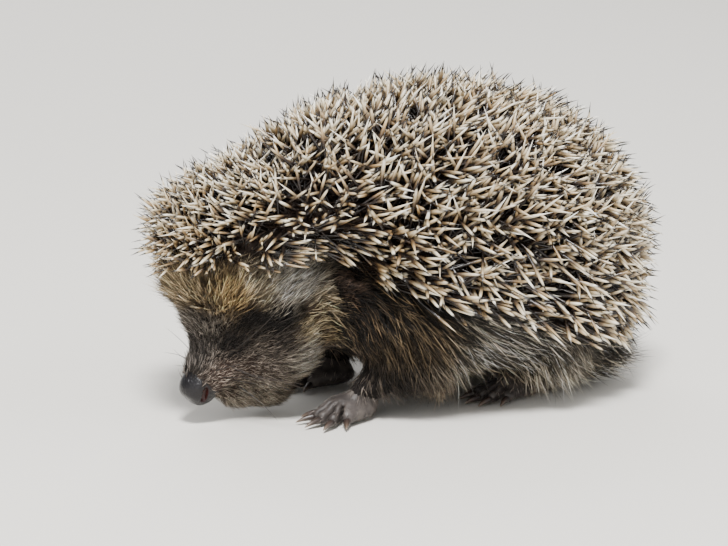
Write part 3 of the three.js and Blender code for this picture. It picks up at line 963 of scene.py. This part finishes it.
class HEDGEHOG_OT_claws(bpy.types.Operator):
    """Makes the claws, bowed and pointed"""

    bl_idname = "hedgehog.claws"
    bl_label = "Claws"

    STOPS = (0, 0.15, 0.35, 0.55, 0.75, 0.9, 1.0)
    GIRTH = (1.0, 1.0, 0.86, 0.66, 0.42, 0.2)
    SIDES = 12

    def execute(self, context):
        made = claw_horn()
        bow = np.tile((0.0, 0.0, -0.22), (len(TOES), 1))
        width = np.full(len(TOES), context.scene.hedgehog_sizes.claw_width)
        for foot in FEET:
            roots, tips = (np.array(ends) for ends in zip(*(claw_line(foot, toe) for toe in TOES)))
            length = np.linalg.norm(tips - roots, axis=1)
            heading = unit(tips - roots) - bow
            points, faces, along, _ = strands(
                roots, heading, bow, length, width, self.STOPS, self.GIRTH, self.SIDES
            )
            piece = mesh_from("claws_" + foot, points, faces, along=np.tile(along, len(TOES)))
            finished(piece, (made,), "claw", *(f"{foot}_claw_{toe}" for toe in TOES))
        return {"FINISHED"}


def rooted(count, density, seed):
    """Roots spread evenly over the skin, as many to the area as density says.

    The skin's triangles are put in an order that keeps neighbours together, and the roots are
    dealt out along it at even steps, so that they stand neither in clumps nor in rows."""
    skin = BUILT["skin"]
    points, faces = skin["points"], skin["faces"]
    corners = np.arange(faces.size).reshape(faces.shape)
    tri = np.concatenate([faces[:, [0, 1, 2]], faces[:, [0, 2, 3]]])
    tri_corners = np.concatenate([corners[:, [0, 1, 2]], corners[:, [0, 2, 3]]])
    a, b, c = points[tri[:, 0]], points[tri[:, 1]], points[tri[:, 2]]
    area = np.linalg.norm(np.cross(b - a, c - a), axis=1) / 2 * density[tri].mean(1)
    cell = np.clip(((a - points.min(0)) / (1.2 * MM)).astype(np.int64), 0, 255)
    code = np.zeros(len(tri), np.int64)
    for bit in range(8):
        for axis in range(3):
            code |= ((cell[:, axis] >> bit) & 1) << (3 * bit + axis)
    order = np.argsort(code, kind="stable")
    rng = np.random.default_rng(seed)
    total = np.cumsum(area[order])
    wanted = (np.arange(count) + rng.random(count)) / count * total[-1]
    picked = order[np.searchsorted(total, wanted)]
    r1 = np.sqrt(rng.random(count))
    r2 = rng.random(count)
    weight = np.stack([1 - r1, r1 * (1 - r2), r1 * r2], 1)

    def mixed(values, of=tri):
        """Values at the roots, from those at the corners of their triangles."""
        return (values[of[picked]] * weight[:, :, None]).sum(1)

    return {
        "at": mixed(points),
        "normal": unit(mixed(skin["normals"])),
        "kinds": mixed(skin["kinds"]),
        "uv": mixed(skin["uv"], tri_corners),
        "rng": rng,
    }


class HEDGEHOG_OT_unwrap(bpy.types.Operator):
    """Unwraps the skin, and evens out the directions in which the coat grows"""

    bl_idname = "hedgehog.unwrap"
    bl_label = "Unwrap"

    def execute(self, context):
        skin = BUILT["skin"]
        piece = skin["piece"]
        mesh = piece.data
        normals = np.empty(len(mesh.vertices) * 3, np.float32)
        mesh.vertex_normals.foreach_get("vector", normals)
        normals = normals.reshape(-1, 3).astype(float)
        faces = skin["faces"]
        for _ in range(6):
            total = normals.copy()
            for i in range(4):
                np.add.at(total, faces[:, i], normals[faces[:, (i + 1) % 4]])
            normals = unit(total)
        skin["normals"] = normals
        mesh.uv_layers.new(name="OFBake")
        context.view_layer.objects.active = piece
        for other in context.selected_objects:
            other.select_set(False)
        piece.select_set(True)
        bpy.ops.object.mode_set(mode="EDIT")
        bpy.ops.mesh.select_all(action="SELECT")
        bpy.ops.uv.smart_project(angle_limit=math.radians(66), island_margin=0.004)
        bpy.ops.object.mode_set(mode="OBJECT")
        uv = np.empty(len(mesh.loops) * 2, np.float32)
        mesh.uv_layers["OFBake"].data.foreach_get("uv", uv)
        skin["uv"] = uv.reshape(-1, 2)
        return {"FINISHED"}


class HEDGEHOG_OT_spines(bpy.types.Operator):
    """Sets the spines in the mantle, criss-crossing and leaning back"""

    bl_idname = "hedgehog.spines"
    bl_label = "Spines"

    # Pieces of the mantle from front to back, each up to a place along the animal in millimetres
    PIECES = (
        ("spines_hood", -26),
        ("spines_shoulder", 2),
        ("spines_back", 28),
        ("spines_rump", math.inf),
    )
    STOPS = (0, 0.3, 0.52, 0.66, 0.77, 0.87, 1.0)
    GIRTH = (0.5, 0.62, 0.9, 1.0, 0.8, 0.36)
    SIDES = 5
    SHORT = 0.22  # share of shorter spines under the others
    DARK_TIPPED = 0.75  # share of spines with a dark needle tip
    SWING = 78  # how widely the spines criss-cross, in degrees
    MOST_STRAY = 2.8  # how far a tip may stand out of the coat, in millimetres

    def execute(self, context):
        sizes = context.scene.hedgehog_sizes
        skin = BUILT["skin"]
        x, _, z = skin["points"].T
        mantle = smooth(of_kind(skin["kinds"], "mantle"), 0.3, 0.6)
        rim = 1 - smooth(above_fringe(x, z), 0, 6 * MM)
        found = rooted(sizes.spine_count, mantle * (1 + self.on_hood(x) * (0.5 + rim)), 11)
        rng, at, normal = found["rng"], found["at"], found["normal"]
        count = len(at)
        above = above_fringe(at[:, 0], at[:, 2])
        edge = 1 - smooth(above, 0, 12 * MM)
        hood = self.on_hood(at[:, 0])
        lie = self.lie(at, normal, hood, edge, rng)
        under = rng.random(count) < self.SHORT
        length = np.where(under, rng.uniform(0.62, 0.85, count), rng.normal(1, 0.09, count))
        length = sizes.spine_length * length * (1 - 0.14 * hood - 0.12 * edge)
        stray = np.minimum(rng.normal(0.5, 2.1 - 1.1 * edge), self.MOST_STRAY)
        height = spine_cover(at[:, 0], above) + np.where(under, -2, stray) * MM
        height -= 0.8 * hood * MM
        rise = np.clip(height / length, 0.2, 0.96)
        width = sizes.spine_width * rng.normal(1, 0.12, count) * (1 - 0.2 * hood)
        heading = unit(normal * rise[:, None] + lie * np.sqrt(1 - rise**2)[:, None])
        bend = (lie * 0.5 - normal * 0.5) * rng.normal(0.04, 0.05, count)[:, None]
        roots = at - normal * ROOT_DEPTH
        length = above_floor(roots, heading, bend, length)
        tips = roots + (heading + bend) * length[:, None]
        # spines that would hang down over the fur or the face are left out
        kept = above_fringe(tips[:, 0], tips[:, 2]) > (-6 + 2.5 * hood) * MM
        # browner spines at the hood's edge and paler ones on top of it
        warm = 0.52 + hood * (0.6 * edge - 0.17)
        fields = {"chance": rng.random(count)}
        fields["warmth"] = np.clip(rng.normal(warm, 0.35), 0, 1)
        fields["dark_tip"] = (rng.random(count) < self.DARK_TIPPED).astype(float)
        made = spine_keratin(context.scene.hedgehog_colours.needle)
        start = -math.inf
        for name, stop in self.PIECES:
            here = kept & (at[:, 0] >= start * MM) & (at[:, 0] < stop * MM)
            start = stop
            rods = (array[here] for array in (roots, heading, bend, length, width))
            points, faces, along, around = strands(*rods, self.STOPS, self.GIRTH, self.SIDES)
            each = {key: np.repeat(values[here], len(along)) for key, values in fields.items()}
            uv = patches(found["uv"][here], around, along)
            piece = mesh_from(name, points, faces, uv, along=np.tile(along, here.sum()), **each)
            finished(piece, (made,), "spines")
        return {"FINISHED"}

    def on_hood(self, x):
        """One over the hood and none behind it."""
        return smooth(-x, 20 * MM, 40 * MM)

    def lie(self, at, normal, hood, edge, rng):
        """The way each spine leans: back on the back, forward on the hood, combed at the edge."""
        side = smooth(0.75 - normal[:, 2], 0.0, 0.6)
        beside = side * smooth(np.abs(normal[:, 1]), 0.6, 0.9)
        facing = hood * smooth(-normal[:, 0], 0.3, 0.7)
        parting = 4 * hood * (1 - hood)
        level = np.zeros(len(at))
        to_side = np.sign(at[:, 1])
        back = np.stack([level + 1, 0.25 * to_side * side, 0.12 * side * (1 - edge) - 0.3 * edge], 1)
        front = np.stack([level - 0.8, 0.2 * to_side, level + 0.5], 1)
        below = np.stack([level + 0.8, 0.2 * to_side, level - 0.3], 1)
        front = front + (below - front) * beside[:, None]
        lie = along_skin(back * (1 - hood[:, None]) + front * hood[:, None], normal)
        combed = edge * (1 - facing)
        wide = np.radians(self.SWING + 10 * parting * (1 - edge) - 56 * combed)
        swing = rng.normal(0, 1, len(at)) * wide
        ear = mirrored(np.mean(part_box("ear_left"), axis=0))
        near_ear = 1 - smooth(np.linalg.norm(mirrored(at) - ear, axis=1), 8 * MM, 17 * MM)
        # by the ear the spines lie back, so that its hollow stays open
        swing *= 1 - 0.7 * near_ear
        lie = along_skin(unit(lie + near_ear[:, None] * (0.4, 0, 0.25)), normal)
        return swung(lie, np.cross(normal, lie), swing)


Coat = namedtuple("Coat", "name kinds tufts hairs spread stops thick pale light dark uneven seed")


class HEDGEHOG_OT_fur(bpy.types.Operator):
    """Grows the fur of face, flanks, belly, legs, feet and ears in tufts"""

    bl_idname = "hedgehog.fur"
    bl_label = "Fur"

    # Each coat: the kinds of flesh it grows on, its tufts, the hairs in one, a tuft's spread in
    # millimetres, stations along a hair, thickness, the share of pale hairs, the tones of pale and
    # dark ones, how uneven the tufts are, and the seed
    COATS = (
        Coat("fur_face", ("head", "muzzle"), 6400, 7, 0.7, (0, 0.5, 1.0), 0.8, 0.36, 2.1, 0.4, 0.13, 21),
        Coat("fur_ears", ("ears",), 260, 5, 0.35, (0, 0.5, 1.0), 0.55, 0.36, 2.1, 0.4, 0.25, 22),
        Coat("fur_body", ("body",), 4200, 7, 1.1, (0, 0.35, 0.7, 1.0), 0.85, 0.2, 3.2, 0.12, 0.25, 23),
        Coat("fur_legs", ("legs",), 1200, 6, 0.6, (0, 0.5, 1.0), 0.8, 0.3, 2.4, 0.3, 0.25, 24),
        Coat("fur_feet", ("feet", "tail"), 1000, 5, 0.5, (0, 0.5, 1.0), 0.5, 0.36, 2.1, 0.4, 0.25, 25),
    )
    SIDES = 3

    def execute(self, context):
        kinds = BUILT["skin"]["kinds"]
        from_eye = HEAD.from_eye(HEAD.local(BUILT["skin"]["points"]))
        bald = 1 - smooth(from_eye, HEAD.eye_radius + 0.4 * MM, HEAD.eye_radius + 1.4 * MM)
        made = guard_hair()
        for coat in self.COATS:
            here = smooth(of_kind(kinds, *coat.kinds), 0.2, 0.6) * (1 + 0.7 * of_kind(kinds, "muzzle"))
            found = rooted(coat.tufts, here * (1 - bald), coat.seed)
            self.grow(coat, found, context.scene.hedgehog_sizes.hair_width, made)
        return {"FINISHED"}

    def grow(self, coat, found, hair_width, made):
        """Grows one coat from the roots of its tufts."""
        rng, hairs = found["rng"], coat.hairs
        at, normal, kinds, uv = (np.repeat(found[key], hairs, 0) for key in ("at", "normal", "kinds", "uv"))
        count = len(at)
        lie = lie_at(at, normal, kinds)
        across = np.cross(normal, lie)
        drift = rng.normal(0, coat.spread * MM, (count, 2))
        roots = at + lie * drift[:, :1] + across * drift[:, 1:] - normal * ROOT_DEPTH
        look = coat_at(at, kinds)
        length = look[:, 6] * np.clip(rng.normal(1, 0.2, count), 0.5, 1.5)
        swing = np.repeat(rng.normal(0, 0.65 * coat.uneven, coat.tufts), hairs)
        swing = swing + rng.normal(0, 0.13, count)
        # the hairs of a tuft close up towards its tip
        swing -= 0.6 * drift[:, 1] / np.maximum(length, 2 * MM)
        lift = look[:, 7] * np.clip(rng.normal(1, 0.3, count), 0.2, 2.2) + 0.25
        lay = swung(lie, across, swing)
        heading = unit(normal * np.sin(lift)[:, None] + lay * np.cos(lift)[:, None])
        # each bows down to the skin, and a little to one side
        bend = -0.22 * normal + 0.1 * rng.normal(0, 1, (count, 1)) * across
        length = above_floor(roots, heading, bend, length + ROOT_DEPTH)
        width = hair_width * coat.thick * rng.normal(1, 0.15, count)
        girth = np.linspace(1, 0.45, len(coat.stops) - 1)
        tint, pale_hair = self.tints(coat, look, rng)
        width = width * np.where(pale_hair, 1.2, 0.9)
        column = np.tile(np.arange(hairs), coat.tufts)
        triangles = self.SIDES * (2 * len(coat.stops) - 3) + 1  # walls, point and base of one hair
        most = MOST_FACES // triangles
        for number, first in enumerate(range(0, count, most), 1):
            h = slice(first, min(first + most, count))
            rods = (array[h] for array in (roots, heading, bend, length, width))
            points, faces, along, around = strands(*rods, coat.stops, girth, self.SIDES)
            squares = patches(uv[h], (column[h, None] + around[None]) / hairs, along)
            colours = tint[h].reshape(-1, 3)
            piece = mesh_from(f"{coat.name}_{number}", points, faces, squares, tint=colours)
            finished(piece, (made,), "face_fur" if coat.name == "fur_face" else "body_fur")

    def tints(self, coat, look, rng):
        """Colour of every point of the hairs, paler to the tip, and which hairs are the pale ones."""
        count = len(look)
        pale_hair = rng.random(count) < coat.pale
        light = rng.normal(coat.light, 0.25 * coat.light, count)
        dark = rng.normal(coat.dark, 0.4 * coat.dark, count)
        tone = np.where(pale_hair, light, dark)
        tone = tone * np.repeat(rng.normal(1, coat.uneven, coat.tufts), coat.hairs)
        tone = np.clip(tone, 0.05, 4.0)[:, None, None]
        along = np.append(np.repeat(coat.stops[:-1], self.SIDES), 1.0)
        pale = np.clip(along * rng.normal(1.05, 0.3, (count, 1)), 0, 1)[:, :, None] ** 1.35
        tint = 0.95 * tone * (look[:, None, :3] * (1 - pale) + look[:, None, 3:6] * pale)
        return np.minimum(tint, 0.85), pale_hair


class HEDGEHOG_OT_whiskers(bpy.types.Operator):
    """Sets the whiskers in the muzzle"""

    bl_idname = "hedgehog.whiskers"
    bl_label = "Whiskers"

    ROWS = 4
    COLUMNS = 4
    WIDTH = 0.25 * MM  # thicker than a real one, so that it shows
    STOPS = np.linspace(0, 1, 8)
    GIRTH = np.linspace(1, 0.3, 7)
    SIDES = 4

    def execute(self, context):
        rng = np.random.default_rng(31)
        roots, heading, length = [], [], []
        for side, row, i in np.ndindex(2, self.ROWS, self.COLUMNS):
            side = 1 - 2 * side
            at = np.array((18.5 - 2.6 * i, side * (5.6 + 0.9 * i), 1.5 - 2.2 * row))
            roots.append(HEAD.world((at + rng.normal(0, 0.4, 3)) * MM))
            out = np.array((-0.1 - 0.25 * i, side * 1.0, 0.25 - 0.25 * row))
            heading.append(HEAD.turned(unit(out + rng.normal(0, 0.18, 3))))
            length.append((15 + 3.0 * i + rng.normal(0, 1.5)) * MM)
        roots, heading, length = np.array(roots), np.array(heading), np.array(length)
        width = np.full(len(roots), self.WIDTH)
        bend = np.cross(heading, rng.normal(0, 1, heading.shape)) * 0.12 + (0, 0, -0.08)
        length = above_floor(roots, heading, bend, length)
        rods = (roots, heading, bend, length, width)
        points, faces, along, around = strands(*rods, self.STOPS, self.GIRTH, self.SIDES)
        skin = BUILT["skin"]
        nearest = [np.linalg.norm(skin["points"] - root, axis=1).argmin() for root in roots]
        uv_at = np.empty((len(skin["points"]), 2))
        uv_at[skin["faces"].ravel()] = skin["uv"]
        uv = patches(uv_at[nearest], around, along)
        piece = mesh_from("whiskers", points, faces, uv, along=np.tile(along, len(roots)))
        finished(piece, (whisker_hair(),), "face_fur")
        return {"FINISHED"}


class HEDGEHOG_OT_stage(bpy.types.Operator):
    """Sets up the pale floor, soft studio light and the camera"""

    bl_idname = "hedgehog.stage"
    bl_label = "Stage"

    # Seen from the animal's left front: azimuth and elevation in degrees, the point aimed at, and
    # the lens and sensor in millimetres
    AZIMUTH = -28.0
    ELEVATION = 12.0
    AIM = (-4.38 * MM, 9.33 * MM, 29.1 * MM)
    LENS = 138.46
    SENSOR = 36.0

    # Soft lights: where each stands in metres, its width and its power
    LIGHTS = (
        ("key", (-0.35, -0.6, 1.2), 0.3, 43.0),
        ("fill", (0.9, -0.6, 0.5), 1.0, 6.2),
        ("front", (-0.9, -0.9, 0.45), 1.3, 7.5),
        ("rim", (0.3, 1.0, 0.8), 0.8, 10.0),
    )
    FLOOR = 6  # width in metres

    def execute(self, context):
        bpy.ops.mesh.primitive_plane_add(size=self.FLOOR)
        floor = context.object
        floor.name = "floor"
        floor.data.materials.append(studio_paper(context.scene.hedgehog_colours.paper))
        a, e = math.radians(self.AZIMUTH), math.radians(self.ELEVATION)
        back = np.array((math.sin(a) * math.cos(e), -math.cos(a) * math.cos(e), math.sin(e)))
        data = bpy.data.cameras.new("camera")
        data.lens = self.LENS
        data.sensor_width = self.SENSOR
        data.clip_start = 0.01
        camera = bpy.data.objects.new("camera", data)
        camera.location = np.array(self.AIM) + back * context.scene.hedgehog_sizes.camera_distance
        camera.rotation_euler = (math.pi / 2 - e, 0, a)
        context.scene.collection.objects.link(camera)
        context.scene.camera = camera
        for name, at, size, power in self.LIGHTS:
            light = bpy.data.lights.new(name, "AREA")
            light.size = size
            light.energy = power
            lamp = bpy.data.objects.new(name, light)
            lamp.location = at
            lamp.visible_camera = False
            lamp.rotation_euler = (-Vector(at)).to_track_quat("-Z", "Y").to_euler()
            context.scene.collection.objects.link(lamp)
        world = bpy.data.worlds.new("studio")
        world.use_nodes = True
        world.node_tree.nodes["Background"].inputs["Color"].default_value = linear("#eef1f5")
        world.node_tree.nodes["Background"].inputs["Strength"].default_value = 0.65
        context.scene.world = world
        return {"FINISHED"}


class HEDGEHOG_PT_panel(bpy.types.Panel):
    """Lists the sizes, the colours and the operators"""

    bl_idname = "HEDGEHOG_PT_panel"
    bl_label = "Hedgehog"
    bl_space_type = "VIEW_3D"
    bl_region_type = "UI"
    bl_category = "Hedgehog"

    def draw(self, context):
        for group in (context.scene.hedgehog_sizes, context.scene.hedgehog_colours):
            for name in group.__annotations__:
                self.layout.prop(group, name)
        for operator in OPERATORS:
            self.layout.operator(operator.bl_idname)


OPERATORS = (
    HEDGEHOG_OT_skin,
    HEDGEHOG_OT_unwrap,
    HEDGEHOG_OT_eyes,
    HEDGEHOG_OT_claws,
    HEDGEHOG_OT_spines,
    HEDGEHOG_OT_fur,
    HEDGEHOG_OT_whiskers,
    HEDGEHOG_OT_stage,
)
CLASSES = (HedgehogSizes, HedgehogColours) + OPERATORS + (HEDGEHOG_PT_panel,)


def register():
    for cls in CLASSES:
        bpy.utils.register_class(cls)
    bpy.types.Scene.hedgehog_sizes = bpy.props.PointerProperty(type=HedgehogSizes)
    bpy.types.Scene.hedgehog_colours = bpy.props.PointerProperty(type=HedgehogColours)


def unregister():
    del bpy.types.Scene.hedgehog_colours
    del bpy.types.Scene.hedgehog_sizes
    for cls in reversed(CLASSES):
        bpy.utils.unregister_class(cls)


def main():
    """Makes the hedgehog and its stage, and writes how large they came out."""
    register()
    bpy.ops.hedgehog.skin()
    bpy.ops.hedgehog.unwrap()
    bpy.ops.hedgehog.eyes()
    bpy.ops.hedgehog.claws()
    bpy.ops.hedgehog.spines()
    bpy.ops.hedgehog.fur()
    bpy.ops.hedgehog.whiskers()
    bpy.ops.hedgehog.stage()


if __name__ == "__main__":
    main()
